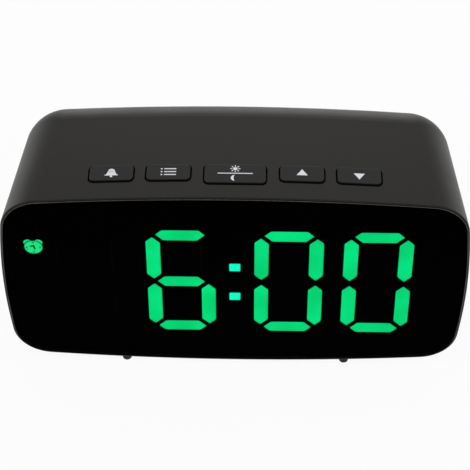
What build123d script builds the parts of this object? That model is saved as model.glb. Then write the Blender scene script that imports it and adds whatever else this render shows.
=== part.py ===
from build123d import *
import math
import os

# Digital LED desk clock. X runs across the face, the face looks along -Y, +Z is up.
# The origin is on the table, under the middle of the clock.
# Lengths are in millimetres and angles in degrees. A depth is measured back from the
# front edge of the housing, and a level is measured up from the middle of the face.

# Housing: a cushion-shaped outline that narrows towards the back
body_width = 147.8
body_height = 75.4
body_depth = 51.0
side_draft = 6.3
top_draft = 1.4
bottom_draft = 1.0
crown_radius = 770.0
flank_radius = 230.0
corner_radius = 12.6
rear_corner_radius = 14.6
rear_edge_radius = 13.4
front_edge_radius = 0.35
wall = 2.4
rear_wall = 4.8
floor_gap = 1.65
overrun = 2.0

# Front window and the printed film behind it
window_lip = 0.5
window_gap = 0.15
window_thickness = 1.5
window_proud = 0.3
window_chamfer = 0.15
film_thickness = 0.3

# Display: four seven-bar digits, a colon and an alarm symbol
display_drop = 1.15
digit_side_room = 4.04
digit_top_room = 2.7
digit_gap = 6.46
colon_room = 12.44
bar_width = 4.38
bar_gap = 1.68
bar_tip_share = 0.45
all_bars = "abcdefg"
lit_bars = ("", "acdefg", "abcdef", "abcdef")
colon_size = 3.4
colon_height_share = 0.1457
symbol_side_room = 10.7
symbol_drop = 8.3
symbol_radius = 2.8
symbol_ring_gap = 0.35
bell_radius = 1.35
bell_reach = 2.6
bell_angle = 52.0
symbol_base_radius = 4.6
guide_length = 2.0
guide_gap = 0.05

# Light box, display board and what is soldered to it
box_side_room = 13.9
box_top_room = 11.9
box_depth = 8.0
box_corner = 2.0
box_bump_radius = 5.6
board_side_room = 6.9
board_top_room = 10.9
board_thickness = 1.6
board_corner = 4.0
board_screw_side_room = 3.5
board_screw_top_room = 3.1
led_length = 3.5
led_width = 2.8
led_height = 1.4
led_spread_share = 0.215
colon_led_length = 2.0
colon_led_width = 1.25
chip_height = 2.4
chip_width = 7.5
chip_lift = 0.1
clock_chip_length = 18.0
clock_chip_place = (-20.0, -10.0)
clock_chip_leg_count = 14
driver_chip_length = 15.4
driver_chip_x = 2.0
driver_chip_edge_room = 7.3
driver_chip_leg_count = 12
leg_pitch = 1.27
leg_width = 0.4
leg_reach = 1.4
leg_thickness = 0.25
leg_bend_share = 0.4
crystal_length = 11.4
crystal_width = 4.7
crystal_height = 3.5
crystal_place = (-44.0, -16.0)
capacitor_radius = 3.2
capacitor_height = 8.0
capacitor_place = (46.0, -16.0)
capacitor_groove = 0.3
capacitor_groove_height = 1.4
buzzer_radius = 6.0
buzzer_height = 9.0
buzzer_place = (28.0, 9.0)
buzzer_hole_radius = 1.2
buzzer_hole_depth = 1.0
can_edge_radius = 0.3
resistor_length = 1.6
resistor_width = 0.8
resistor_height = 0.5
resistor_count = 8
resistor_pitch = 3.0
resistor_place = (-48.0, 16.0)

# Buttons in the top, from left to right: alarm, mode, light and snooze, up, down
button_names = ("alarm", "mode", "snooze", "up", "down")
button_x = (-38.2, -20.6, 0.0, 20.6, 38.2)
opening_width = 14.5
snooze_opening_width = 19.9
opening_front = 7.05
snooze_opening_front = 5.7
opening_back = 15.0
opening_corner = 2.0
cap_side_gap = 0.5
cap_front_gap = 0.85
cap_back_gap = 0.15
cap_corner = 1.5
cap_proud = 0.3
cap_edge_radius = 0.25
flange_reach = 0.8
flange_gap = 0.15
flange_thickness = 1.0
stem_radius = 1.4
button_travel = 0.5

# Button board, its switches and the ribbon to the display board
button_board_width = 106.0
button_board_front = 4.5
button_board_back = 23.0
button_board_drop = 10.0
button_board_thickness = 1.2
button_board_corner = 1.5
switch_depth = 11.2
switch_size = 6.0
switch_height = 3.5
switch_corner = 0.4
plunger_radius = 1.7
plunger_gap = 0.2
plunger_rise = 0.8
plunger_length = 2.0
plunger_room = 0.1
tab_width = 0.8
tab_reach = 1.0
tab_thickness = 0.3
tab_spacing = 4.0
button_post_radius = 2.6
button_post_x = 50.0
side_post_depth = 17.5
middle_post_depth = 20.0
button_screw_length = 5.0
ribbon_width = 8.0
ribbon_thickness = 0.3
ribbon_x = -32.0
ribbon_depth = 21.0
ribbon_height = 8.0
ribbon_bend = 4.0
ribbon_gap = 0.05
ribbon_socket_width = 11.0
ribbon_socket_height = 4.0
ribbon_socket_depth = 2.6
ribbon_socket_floor = 0.6

# Bosses and screws
boss_radius = 3.2
boss_length = 15.0
web_thickness = 1.6
screw_radius = 1.0
screw_head_radius = 2.0
screw_head_height = 1.3
screw_length = 8.0
screw_gap = 0.05
screw_room = 0.15
hole_room = 0.3
recess_width = 0.6
recess_depth = 0.7
head_dome = 0.4

# Rear cover, battery bay and door
cover_width = 104.0
cover_height = 42.0
cover_corner = 4.0
cover_thickness = 2.4
cover_gap = 0.2
cover_ledge = 2.3
cover_chamfer = 0.2
cover_screw_x = 48.2
cover_screw_height = 16.8
cover_boss_length = 9.0
counterbore_depth = 1.4
counterbore_room = 0.3
cell_length = 44.5
cell_radius = 5.25
cell_pitch = 11.1
cell_nub_radius = 1.9
cell_nub_length = 1.0
cell_edge_radius = 0.6
cell_count = 3
cell_room = 0.3
cell_floor_room = 0.4
contact_thickness = 0.4
contact_width = 9.0
contact_corner = 1.0
contact_tab_width = 2.5
contact_tab_length = 2.0
contact_slit_room = 0.2
spring_length = 5.7
spring_wide_radius = 3.4
spring_narrow_radius = 2.2
spring_wire = 0.5
bay_x = -16.9
bay_wall = 1.5
bay_rib_width = 1.2
bay_rib_height = 2.2
door_thickness = 2.0
door_lap = 1.2
door_gap = 0.25
door_cell_gap = 0.4
door_seat_corner = 0.5
door_chamfer = 0.3
door_pin_radius = 0.6
door_pin_length = 1.2
door_pin_gap = 0.08
door_pin_room = 0.2
clip_width = 9.0
clip_length = 1.6
clip_thickness = 1.2
clip_gap = 0.25
groove_count = 5
groove_length = 22.0
groove_width = 0.9
groove_pitch = 1.9
groove_depth = 0.4
groove_height = -11.5
notch_width = 16.0
notch_height = 1.6
notch_depth = 1.4
notch_corner = 1.0

# Supply socket and its board, and the sound holes
power_x = 28.0
power_height = -9.0
power_board_width = 24.0
power_board_height = 12.0
power_board_thickness = 1.2
power_board_corner = 1.0
power_screw_x = 9.0
power_boss_radius = 2.4
power_screw_length = 5.0
socket_width = 7.6
socket_height = 2.9
socket_length = 7.0
socket_corner = 0.9
socket_wall = 0.3
socket_inset = 0.4
socket_room = 0.3
socket_floor = 1.6
tongue_width = 3.6
tongue_thickness = 0.6
tongue_length = 4.5
sound_height = 9.0
sound_hole_radius = 0.9
sound_ring_radius = 3.8
sound_ring_count = 8

# Leads inside the clock, from the rear cover's side to the display board
lead_radius = 0.6
lead_droop = 2.0
lead_run_shares = (0.0, 0.24, 0.5, 0.76, 1.0)
lead_side_shares = (0.0, 0.0, 0.5, 1.0, 1.0)
lead_droop_shares = (0.0, 0.0, 1.0, 0.0, 0.0)
lead_radius_share = 0.45
supply_lead_x = 22.0
supply_lead_spacing = 3.2
supply_lead_end = (14.0, -4.0)
positive_lead_end = (-47.0, 3.0)
negative_lead_end = (4.0, -7.0)

# Feet
foot_x = 36.1
front_foot_depth = 2.3
rear_foot_depth = 34.0
foot_top_radius = 1.9
foot_bottom_radius = 1.5

# Places worked out from the sizes above
lip_y = (window_proud - body_depth) / 2
face_z = floor_gap + body_height / 2
window_back = window_thickness - window_proud
film_back = window_back + film_thickness
guide_front = window_back + guide_gap
guide_back = guide_front + guide_length
board_front = film_back + box_depth
board_back = board_front + board_thickness
side_slope = math.tan(math.radians(side_draft))
top_slope = math.tan(math.radians(top_draft))
bottom_slope = math.tan(math.radians(bottom_draft))
button_board_level = body_height / 2 - button_board_drop
switch_top = button_board_level + switch_height
plunger_top = switch_top + plunger_rise
cover_level = -body_depth * (top_slope - bottom_slope) / 2
cover_inside = body_depth - cover_thickness
bay_length = cell_length + spring_length + 2 * contact_thickness
bay_height = (cell_count - 1) * cell_pitch + 2 * (cell_radius + cell_room)
bay_floor = body_depth - door_thickness - door_cell_gap - 2 * cell_radius - cell_floor_room
bay_front = bay_floor - bay_wall
cell_depth = bay_floor + cell_floor_room + cell_radius
door_width = bay_length + 2 * door_lap
door_height = bay_height + 2 * door_lap
door_inside = body_depth - door_thickness
door_axis_y = lip_y + body_depth - door_thickness / 2
door_axis_z = face_z + cover_level + (door_height - door_thickness) / 2
power_board_back = body_depth - socket_inset - socket_length
power_board_front = power_board_back - power_board_thickness
box_width = body_width - 2 * box_side_room
box_height = body_height - 2 * box_top_room
board_width = body_width - 2 * board_side_room
board_height = body_height - 2 * board_top_room
board_screw_x = board_width / 2 - board_screw_side_room
board_screw_height = board_height / 2 - board_screw_top_room
driver_chip_place = (driver_chip_x, driver_chip_edge_room - board_height / 2)
digit_height = box_height - 2 * digit_top_room
digits_width = box_width - 2 * digit_side_room - 2 * digit_gap - colon_room
digit_width = digits_width / len(lit_bars)
colon_height = colon_height_share * digit_height
symbol_x = symbol_side_room - body_width / 2
symbol_height = digit_height / 2 - symbol_drop
inner_digit_x = (digit_width + colon_room) / 2
outer_digit_x = inner_digit_x + digit_width + digit_gap
digit_x = (-outer_digit_x, -inner_digit_x, inner_digit_x, outer_digit_x)
upright = (Align.CENTER, Align.CENTER, Align.MIN)
nodes = {}


def facing_front(depth, x=0.0, level=0.0):
    """An upright plane at a depth. X is to the right, Y is up, and it faces the front."""
    origin = (x, lip_y + depth, face_z + level)
    return Plane(origin=origin, x_dir=(1, 0, 0), z_dir=(0, -1, 0))


def facing_back(depth, x=0.0, level=0.0):
    """An upright plane at a depth, facing the back."""
    origin = (x, lip_y + depth, face_z + level)
    return Plane(origin=origin, x_dir=(1, 0, 0), z_dir=(0, 1, 0))


def facing_up(level, x=0.0, depth=0.0):
    """A level plane. X is to the right and Y points to the back."""
    return Plane(origin=(x, lip_y + depth, face_z + level))


def facing_down(level, x=0.0, depth=0.0):
    """A level plane that faces the table."""
    return Plane(origin=(x, lip_y + depth, face_z + level), x_dir=(1, 0, 0), z_dir=(0, 0, -1))


def facing_side(side, x, y, z):
    """A plane that faces the left (-1) or the right (1). X points to the back."""
    return Plane(origin=(x, y, z), x_dir=(0, 1, 0), z_dir=(side, 0, 0))


def slab(sketch, front, back, x=0.0, level=0.0):
    """An upright sketch filled from one depth to another."""
    return extrude(facing_front(front, x, level) * sketch, amount=back - front, dir=(0, 1, 0))


def post(sketch, low, high, x=0.0, depth=0.0):
    """A level sketch filled from one level to another."""
    return extrude(facing_up(low, x, depth) * sketch, amount=high - low, dir=(0, 0, 1))


def group(pieces):
    """Separate solids of one kind, kept together as one sub-part."""
    return Compound([piece.solid() for piece in pieces])


def outline(depth, inset=0.0):
    """The housing's outline at a depth: four bowed sides joined by four corner arcs."""
    half_width = body_width / 2 - depth * side_slope - inset
    half_height = (body_height - depth * (top_slope + bottom_slope)) / 2 - inset
    middle = face_z - depth * (top_slope - bottom_slope) / 2
    crown, flank = crown_radius - inset, flank_radius - inset
    growth = (rear_corner_radius - corner_radius) * depth / body_depth
    corner = corner_radius + growth - inset
    low, side = half_height - crown, half_width - flank
    span = math.hypot(low, side)
    along = ((crown - corner) ** 2 - (flank - corner) ** 2 + span**2) / (2 * span)
    off = math.sqrt((crown - corner) ** 2 - along**2)
    corner_x = (side * along - low * off) / span
    corner_z = low + (-low * along - side * off) / span
    crown_share = crown / (crown - corner)
    flank_share = flank / (flank - corner)
    on_crown = (corner_x * crown_share, low + (corner_z - low) * crown_share)
    on_flank = (side + (corner_x - side) * flank_share, corner_z * flank_share)
    turn = (math.atan2(corner_z - low, corner_x) + math.atan2(corner_z, corner_x - side)) / 2
    on_corner = (corner_x + corner * math.cos(turn), corner_z + corner * math.sin(turn))

    def place(point, right, up):
        return (right * point[0], lip_y + depth, middle + up * point[1])

    arcs = []
    for right, up in ((1, 1), (1, -1), (-1, -1), (-1, 1)):
        turn_points = [place(point, right, up) for point in (on_crown, on_corner, on_flank)]
        if right == up:
            arcs.append(ThreePointArc(*turn_points))
            bow = place((half_width, 0), right, up)
            arcs.append(ThreePointArc(turn_points[2], bow, place(on_flank, right, -up)))
        else:
            arcs.append(ThreePointArc(*reversed(turn_points)))
            bow = place((0, half_height), right, up)
            arcs.append(ThreePointArc(turn_points[0], bow, place(on_crown, -right, up)))
    return Face(Wire(arcs))


def body_block(inset=0.0, back=body_depth, rear_round=0.0):
    """The solid within the housing's outline, with its rear edge rounded if asked."""
    block = loft([outline(0, inset), outline(back, inset)], ruled=True)
    if rear_round:
        rear = block.faces().sort_by(Axis.Y)[-1]
        block = fillet(rear.edges(), rear_round)
    return block


def face_plate(inset, front, back):
    """A plate with the outline of the face, drawn in by an inset."""
    plate = extrude(outline(0, inset), amount=back - front, dir=(0, 1, 0))
    return Pos(0, front, 0) * plate


def crown_drop(x):
    """How far the bowed top or underside has come in at a distance from the middle."""
    return crown_radius - math.sqrt(crown_radius**2 - x**2)


def ceiling(x, depth):
    """The level of the underside of the top wall."""
    return body_height / 2 - wall - depth * top_slope - crown_drop(x)


def screw(length):
    """A pan-head screw that points down, with the seat of its head at the origin."""
    head = Cylinder(screw_head_radius, screw_head_height, align=upright)
    head = fillet(head.edges().sort_by(Axis.Z)[-1], head_dome)
    shank = Cylinder(screw_radius, length, align=(Align.CENTER, Align.CENTER, Align.MAX))
    slot = extrude(Rectangle(2 * (screw_head_radius - head_dome), recess_width), amount=screw_head_height)
    slot = Pos(0, 0, screw_head_height - recess_depth) * slot
    return head + shank - slot - slot.rotate(Axis.Z, 90)


def bar_points(name):
    """The corners of one bar of a digit, around the middle of the digit."""
    left, top = -digit_width / 2, digit_height / 2
    step = bar_gap / math.sqrt(2)
    tip = bar_tip_share * bar_width
    if name in "ad":
        corners = [
            (left + tip + step, top - tip),
            (left + 2 * tip + step, top),
            (-left - 2 * tip - step, top),
            (-left - tip - step, top - tip),
            (-left - bar_width - step, top - bar_width),
            (left + bar_width + step, top - bar_width),
        ]
    elif name == "g":
        corners = [
            (left + bar_width / 2 + step, 0),
            (left + bar_width + step, bar_width / 2),
            (-left - bar_width - step, bar_width / 2),
            (-left - bar_width / 2 - step, 0),
            (-left - bar_width - step, -bar_width / 2),
            (left + bar_width + step, -bar_width / 2),
        ]
    else:
        corners = [
            (left + tip, top - tip - step),
            (left, top - 2 * tip - step),
            (left, step + bar_width / 2),
            (left + bar_width / 2, step),
            (left + bar_width, step + bar_width / 2),
            (left + bar_width, top - bar_width - step),
        ]
    right = -1 if name in "bc" else 1
    up = -1 if name in "cde" else 1
    return [(right * x, up * z) for x, z in corners]


def bar(name, digit):
    """One bar as a flat shape, around the middle of the display."""
    return Pos(digit_x[digit], 0) * Polygon(*bar_points(name), align=None)


def colon_squares():
    """The two squares between the hours and the minutes."""
    return [Pos(0, side * colon_height) * Rectangle(colon_size, colon_size) for side in (-1, 1)]


def symbol_shapes():
    """The alarm symbol: a round clock and its two bells."""
    middle = Pos(symbol_x, symbol_height)
    shapes = [middle * Circle(symbol_radius)]
    ring = Circle(symbol_radius + symbol_ring_gap)
    for angle in (bell_angle, 180 - bell_angle):
        turn = math.radians(angle)
        bell = Pos(bell_reach * math.cos(turn), bell_reach * math.sin(turn)) * Circle(bell_radius)
        shapes.append(middle * (bell - ring))
    return shapes


def display_shapes():
    """Every bar of every digit, lit or not, and the colon."""
    bars = [bar(name, digit) for digit in range(len(digit_x)) for name in all_bars]
    return bars + colon_squares()


def widened(shape):
    """A flat shape grown by the gap round a light guide."""
    return offset(shape, amount=guide_gap, kind=Kind.INTERSECTION)


def on_display(shape, front, back):
    """A shape of the display filled from one depth to another."""
    return slab(shape, front, back, 0, -display_drop)


def led_places(name, digit):
    """Two places along a bar for its LED chips, and whether the bar is upright."""
    points = bar_points(name)
    xs = [x for x, _ in points]
    heights = [height for _, height in points]
    is_upright = name not in "adg"
    reach = led_spread_share * (max(heights) - min(heights) if is_upright else max(xs) - min(xs))
    for side in (-1, 1):
        x = digit_x[digit] + sum(xs) / len(xs) + (0 if is_upright else side * reach)
        height = sum(heights) / len(heights) + (side * reach if is_upright else 0)
        yield x, height, is_upright


def board_screw_places():
    """Places of the four display board screws: x and level."""
    levels = [-display_drop + side * board_screw_height for side in (-1, 1)]
    return [(side * board_screw_x, level) for side in (-1, 1) for level in levels]


def button_post_places():
    """Places of the three posts of the button board: x and depth."""
    return [(-button_post_x, side_post_depth), (0, middle_post_depth), (button_post_x, side_post_depth)]


def cover_screw_places():
    """Places of the four cover screws: x and level."""
    levels = [cover_level + side * cover_screw_height for side in (-1, 1)]
    return [(side * cover_screw_x, level) for side in (-1, 1) for level in levels]


def power_screw_places():
    """Places of the two power board screws: x and level."""
    return [(power_x + side * power_screw_x, cover_level + power_height) for side in (-1, 1)]


def sound_places():
    """Places of the sound holes, from the middle of the cover: one in the middle of a ring."""
    places = [(power_x, sound_height)]
    for index in range(sound_ring_count):
        turn = 2 * math.pi * index / sound_ring_count
        x = power_x + sound_ring_radius * math.cos(turn)
        places.append((x, sound_height + sound_ring_radius * math.sin(turn)))
    return places


def button_openings():
    """Each button's name, place, and its opening's width and front edge."""
    for name, x in zip(button_names, button_x):
        if name == "snooze":
            yield name, x, snooze_opening_width, snooze_opening_front
        else:
            yield name, x, opening_width, opening_front


def make_housing():
    """One moulded shell, open at the front for the window and at the rear for the cover."""
    shell = body_block(0, body_depth, rear_edge_radius)
    shell = fillet(shell.faces().sort_by(Axis.Y)[0].edges(), front_edge_radius)
    shell -= body_block(wall, body_depth - rear_wall, rear_edge_radius - wall)
    shell -= face_plate(window_lip, -overrun, film_back)
    way_in = RectangleRounded(cover_width - 2 * cover_ledge, cover_height - 2 * cover_ledge, cover_corner)
    shell -= slab(way_in, body_depth - rear_wall - overrun, body_depth, 0, cover_level)
    seat = RectangleRounded(cover_width + 2 * cover_gap, cover_height + 2 * cover_gap, cover_corner)
    shell -= slab(seat, cover_inside, body_depth + overrun, 0, cover_level)
    for _, x, width, front in button_openings():
        length = opening_back - front
        hole = RectangleRounded(width, length, opening_corner)
        low = ceiling(x, opening_back) - overrun
        shell -= post(hole, low, body_height / 2 + overrun, x, front + length / 2)
    return (shell + make_bosses()) - pilot_holes()


def make_bosses():
    """Bosses for the display board, the button board and the rear cover."""
    bosses = []
    for x, level in board_screw_places():
        back = board_back + boss_length
        web_length = body_width / 2 - abs(x)
        web_x = x + math.copysign(web_length / 2, x)
        bosses.append(slab(Circle(boss_radius), board_back, back, x, level))
        bosses.append(slab(Rectangle(web_length, web_thickness), board_back, back, web_x, level))
    for x, depth in button_post_places():
        bosses.append(post(Circle(button_post_radius), button_board_level, body_height / 2, x, depth))
    for x, level in cover_screw_places():
        bosses.append(slab(Circle(boss_radius), cover_inside - cover_boss_length, cover_inside, x, level))
    within_walls = body_block(wall / 2, body_depth - rear_wall / 2, rear_edge_radius - wall / 2)
    return [boss & within_walls for boss in bosses]


def pilot_holes():
    """The holes that the housing's screws bite into."""
    pilot = Circle(screw_radius + screw_gap)
    board_end = board_front + screw_length + hole_room
    button_end = button_board_level - button_board_thickness + button_screw_length + hole_room
    cover_end = cover_inside - screw_length - hole_room
    holes = []
    for x, level in board_screw_places():
        holes.append(slab(pilot, board_back - overrun, board_end, x, level))
    for x, depth in button_post_places():
        holes.append(post(pilot, button_board_level - overrun, button_end, x, depth))
    for x, level in cover_screw_places():
        holes.append(slab(pilot, cover_end, cover_inside + overrun, x, level))
    return holes


def make_window():
    """The smoked sheet over the whole face, with a fine bevel round its front."""
    sheet = face_plate(window_lip + window_gap, -window_proud, window_back)
    return chamfer(sheet.faces().sort_by(Axis.Y)[0].edges(), window_chamfer)


def make_film():
    """The black film behind the window, open over each bar, the colon and the symbol."""
    film = face_plate(window_lip + window_gap, window_back, film_back)
    front, back = window_back - overrun, film_back + overrun
    shapes = display_shapes() + symbol_shapes()
    return film - [on_display(widened(shape), front, back) for shape in shapes]


def make_light_box():
    """The block with a straight well behind each bar, so that no light strays."""
    base = RectangleRounded(box_width, box_height, box_corner)
    base += Pos(symbol_x, symbol_height) * Circle(box_bump_radius)
    wells = [widened(shape) for shape in display_shapes()]
    wells.append(Pos(symbol_x, symbol_height) * Circle(symbol_base_radius + guide_gap))
    box = on_display(base, film_back, board_front)
    return box - [on_display(well, film_back - overrun, board_front + overrun) for well in wells]


def make_bars(names, digit):
    """The clear bars that fill the film's openings in one digit."""
    return [on_display(bar(name, digit), guide_front, guide_back) for name in names]


def make_symbol():
    """A round clear plug with the alarm symbol raised on its front."""
    plug = on_display(Pos(symbol_x, symbol_height) * Circle(symbol_base_radius), film_back, guide_back)
    return plug + [on_display(shape, guide_front, film_back) for shape in symbol_shapes()]


def make_leds():
    """The LED chips on the display board: two behind each bar, one behind each dot and the symbol."""
    chips = []
    for digit in range(len(digit_x)):
        for name in all_bars:
            for x, height, is_upright in led_places(name, digit):
                size = (led_width, led_length) if is_upright else (led_length, led_width)
                chips.append(Pos(x, height) * Rectangle(*size))
    for side in (-1, 1):
        chips.append(Pos(0, side * colon_height) * Rectangle(colon_led_length, colon_led_width))
    chips.append(Pos(symbol_x, symbol_height) * Rectangle(led_length, led_width))
    return [on_display(chip, board_front - led_height, board_front) for chip in chips]


def make_display_board():
    """The display board, with a clearance hole for each of its screws."""
    sheet = RectangleRounded(board_width, board_height, board_corner)
    hole = Circle(screw_radius + screw_room)
    front, back = board_front - overrun, board_back + overrun
    holes = [slab(hole, front, back, *place) for place in board_screw_places()]
    return on_display(sheet, board_front, board_back) - holes


def on_board_back(shape, place, low, high):
    """A shape on the rear of the display board, between two heights over the board."""
    return on_display(Pos(*place) * shape, board_back + low, board_back + high)


def make_chip(length, place, leg_count):
    """A flat chip with a row of bent legs on each long side."""
    body = on_board_back(Rectangle(length, chip_width), place, chip_lift, chip_height)
    knee = chip_width / 2 + leg_bend_share * leg_reach
    toe = chip_width / 2 + leg_reach
    middle = chip_height / 2
    pieces = []
    for index in range(leg_count):
        x = place[0] + (index - (leg_count - 1) / 2) * leg_pitch
        for side in (-1, 1):
            for inner, outer, low, high in (
                (chip_width / 2 - leg_thickness, knee, middle, middle + leg_thickness),
                (knee - leg_thickness, knee, 0, middle + leg_thickness),
                (knee - leg_thickness, toe, 0, leg_thickness),
            ):
                strip = Rectangle(leg_width, outer - inner)
                height = place[1] + side * (inner + outer) / 2
                pieces.append(on_board_back(strip, (x, height), low, high))
    return body + pieces


def make_crystal():
    """The flat metal can of the crystal, rounded at both ends."""
    can = on_board_back(SlotOverall(crystal_length, crystal_width), crystal_place, 0, crystal_height)
    return fillet(can.faces().sort_by(Axis.Y)[-1].edges(), can_edge_radius)


def make_capacitor():
    """A round capacitor that stands on the board, with the groove near its foot."""
    can = on_board_back(Circle(capacitor_radius), capacitor_place, 0, capacitor_height)
    can = fillet(can.faces().sort_by(Axis.Y)[-1].edges(), can_edge_radius)
    ring = Circle(capacitor_radius + overrun) - Circle(capacitor_radius - capacitor_groove)
    high = capacitor_groove_height + capacitor_groove
    return can - on_board_back(ring, capacitor_place, capacitor_groove_height, high)


def make_buzzer():
    """The round alarm buzzer, with the sound hole in its face."""
    can = on_board_back(Circle(buzzer_radius), buzzer_place, 0, buzzer_height)
    can = fillet(can.faces().sort_by(Axis.Y)[-1].edges(), can_edge_radius)
    floor = buzzer_height - buzzer_hole_depth
    return can - on_board_back(Circle(buzzer_hole_radius), buzzer_place, floor, buzzer_height + overrun)


def make_resistors():
    """A row of small resistors for the display's bars."""
    x, height = resistor_place
    body = Rectangle(resistor_width, resistor_length)
    places = [(x + index * resistor_pitch, height) for index in range(resistor_count)]
    return [on_board_back(body, place, 0, resistor_height) for place in places]


def make_ribbon_socket():
    """The socket on the display board that the ribbon plugs into."""
    place = (ribbon_x, ribbon_height)
    block = Rectangle(ribbon_socket_width, ribbon_socket_height)
    body = on_board_back(block, place, 0, ribbon_socket_depth)
    mouth = Rectangle(ribbon_width + 2 * ribbon_gap, ribbon_thickness + 2 * ribbon_gap)
    return body - on_board_back(mouth, place, ribbon_socket_floor, ribbon_socket_depth + overrun)


def make_ribbon():
    """The flat ribbon: straight out of its socket, round a bend and up to the button board."""
    low = -display_drop + ribbon_height
    high = button_board_level - button_board_thickness
    start = board_back + ribbon_socket_floor + ribbon_gap
    half = ribbon_thickness / 2
    outer_corner = (ribbon_depth + half, low - half)
    inner_corner = (ribbon_depth - half, low + half)
    lower = [(start, low - half), outer_corner, (ribbon_depth + half, high)]
    upper = [(ribbon_depth - half, high), inner_corner, (start, low + half)]
    strip = Polygon(*lower, *upper, align=None)
    for corner, radius in ((outer_corner, ribbon_bend + half), (inner_corner, ribbon_bend - half)):
        strip = fillet(strip.vertices().sort_by_distance((*corner, 0))[0], radius)
    side = facing_side(1, ribbon_x - ribbon_width / 2, lip_y, face_z)
    return extrude(side * strip, amount=ribbon_width)


def make_button_board():
    """The board under the buttons, with a clearance hole for each of its screws."""
    length = button_board_back - button_board_front
    middle = button_board_front + length / 2
    low = button_board_level - button_board_thickness
    sheet = RectangleRounded(button_board_width, length, button_board_corner)
    board = post(sheet, low, button_board_level, 0, middle)
    hole = Circle(screw_radius + screw_room)
    high = button_board_level + overrun
    return board - [post(hole, low - overrun, high, *place) for place in button_post_places()]


def make_switch(x):
    """A tact switch body with the bore for its plunger and four solder tabs."""
    sheet = RectangleRounded(switch_size, switch_size, switch_corner)
    body = post(sheet, button_board_level, switch_top, x, switch_depth)
    bore = Circle(plunger_radius + plunger_gap)
    bore_floor = plunger_top - plunger_length - button_travel - plunger_room
    body -= post(bore, bore_floor, switch_top + overrun, x, switch_depth)
    tab = Rectangle(2 * tab_reach, tab_width)
    for right in (-1, 1):
        for back in (-1, 1):
            place = (x + right * switch_size / 2, switch_depth + back * tab_spacing / 2)
            body += post(tab, button_board_level, button_board_level + tab_thickness, *place)
    return body


def make_plunger(x):
    """The round plunger that a button cap presses."""
    return post(Circle(plunger_radius), plunger_top - plunger_length, plunger_top, x, switch_depth)


def make_cap(x, width, front):
    """A button cap: the key that shows, the flange that keeps it in, and the stem to its switch."""
    length = opening_back - front
    key_width = width - 2 * cap_side_gap
    key_length = length - cap_front_gap - cap_back_gap
    key_depth = front + cap_front_gap + key_length / 2
    far_x = abs(x) + width / 2 + flange_reach
    low = ceiling(far_x, opening_back + flange_reach) - flange_gap - flange_thickness
    high = body_height / 2 + overrun
    key = post(RectangleRounded(key_width, key_length, cap_corner), low, high, x, key_depth)
    key &= body_block(-cap_proud)
    key = fillet(key.faces().sort_by(Axis.Z)[-1].edges(), cap_edge_radius)
    rim = RectangleRounded(width + 2 * flange_reach, length + 2 * flange_reach, opening_corner)
    flange = post(rim, low, high, x, front + length / 2) & body_block(wall + flange_gap)
    stem = post(Circle(stem_radius), plunger_top, low + flange_thickness, x, switch_depth)
    return key + [flange, stem]


def on_cover(sketch, front, back, x=0.0, height=0.0):
    """A shape placed from the middle of the rear cover, filled between two depths."""
    return slab(sketch, front, back, x, cover_level + height)


def make_cover():
    """The rear cover, which carries the battery bay and the supply socket's board."""
    cover = on_cover(RectangleRounded(cover_width, cover_height, cover_corner), cover_inside, body_depth)
    cover = chamfer(cover.faces().sort_by(Axis.Y)[-1].edges(), cover_chamfer)
    tub = Rectangle(bay_length + 2 * bay_wall, bay_height + 2 * bay_wall)
    cover += on_cover(tub, bay_front, cover_inside, bay_x)
    boss = Circle(power_boss_radius)
    cover += [slab(boss, power_board_back, cover_inside, *place) for place in power_screw_places()]
    cover -= bay_cuts() + cover_cuts()
    rib = Rectangle(bay_length - 2 * (contact_thickness + contact_slit_room), bay_rib_width)
    rib_top = bay_floor + bay_rib_height
    heights = [(index - cell_count / 2) * cell_pitch for index in range(1, cell_count)]
    return cover + [on_cover(rib, bay_floor, rib_top, bay_x, height) for height in heights]


def bay_cuts():
    """The battery bay, the door's seat and pin holes, the finger notch and the slits for the contacts."""
    back = body_depth + overrun
    seat = RectangleRounded(door_width + 2 * door_gap, door_height + 2 * door_gap, door_seat_corner)
    notch = RectangleRounded(notch_width, 2 * notch_height, notch_corner)
    cuts = [
        on_cover(Rectangle(bay_length, bay_height), bay_floor, back, bay_x),
        on_cover(seat, door_inside, back, bay_x),
        on_cover(notch, body_depth - notch_depth, back, bay_x, -door_height / 2 - door_gap),
    ]
    slit = offset(Rectangle(contact_thickness, contact_tab_width), amount=contact_slit_room)
    pin_hole = Circle(door_pin_radius + door_pin_gap)
    front, floor = bay_front - overrun, bay_floor + overrun
    for side in (-1, 1):
        door_side = facing_side(side, bay_x + side * door_width / 2, door_axis_y, door_axis_z)
        cuts.append(extrude(door_side * pin_hole, amount=door_pin_length + door_pin_room))
        cuts.append(on_cover(slit, front, floor, contact_x(side), -side * cell_pitch))
    return cuts


def cover_cuts():
    """The screw seats, the power board's screw holes, the socket's opening and the sound holes."""
    front, back = cover_inside - overrun, body_depth + overrun
    seat = Circle(screw_head_radius + counterbore_room)
    cuts = []
    for place in cover_screw_places():
        cuts.append(slab(seat, body_depth - counterbore_depth, back, *place))
        cuts.append(slab(Circle(screw_radius + screw_room), front, back, *place))
    pilot = Circle(screw_radius + screw_gap)
    pilot_end = power_board_front + power_screw_length + hole_room
    for place in power_screw_places():
        cuts.append(slab(pilot, power_board_back - overrun, pilot_end, *place))
    mouth = offset(RectangleRounded(socket_width, socket_height, socket_corner), amount=socket_room)
    cuts.append(on_cover(mouth, front, back, power_x, power_height))
    sound_hole = Circle(sound_hole_radius)
    return cuts + [on_cover(sound_hole, front, back, *place) for place in sound_places()]


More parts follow.
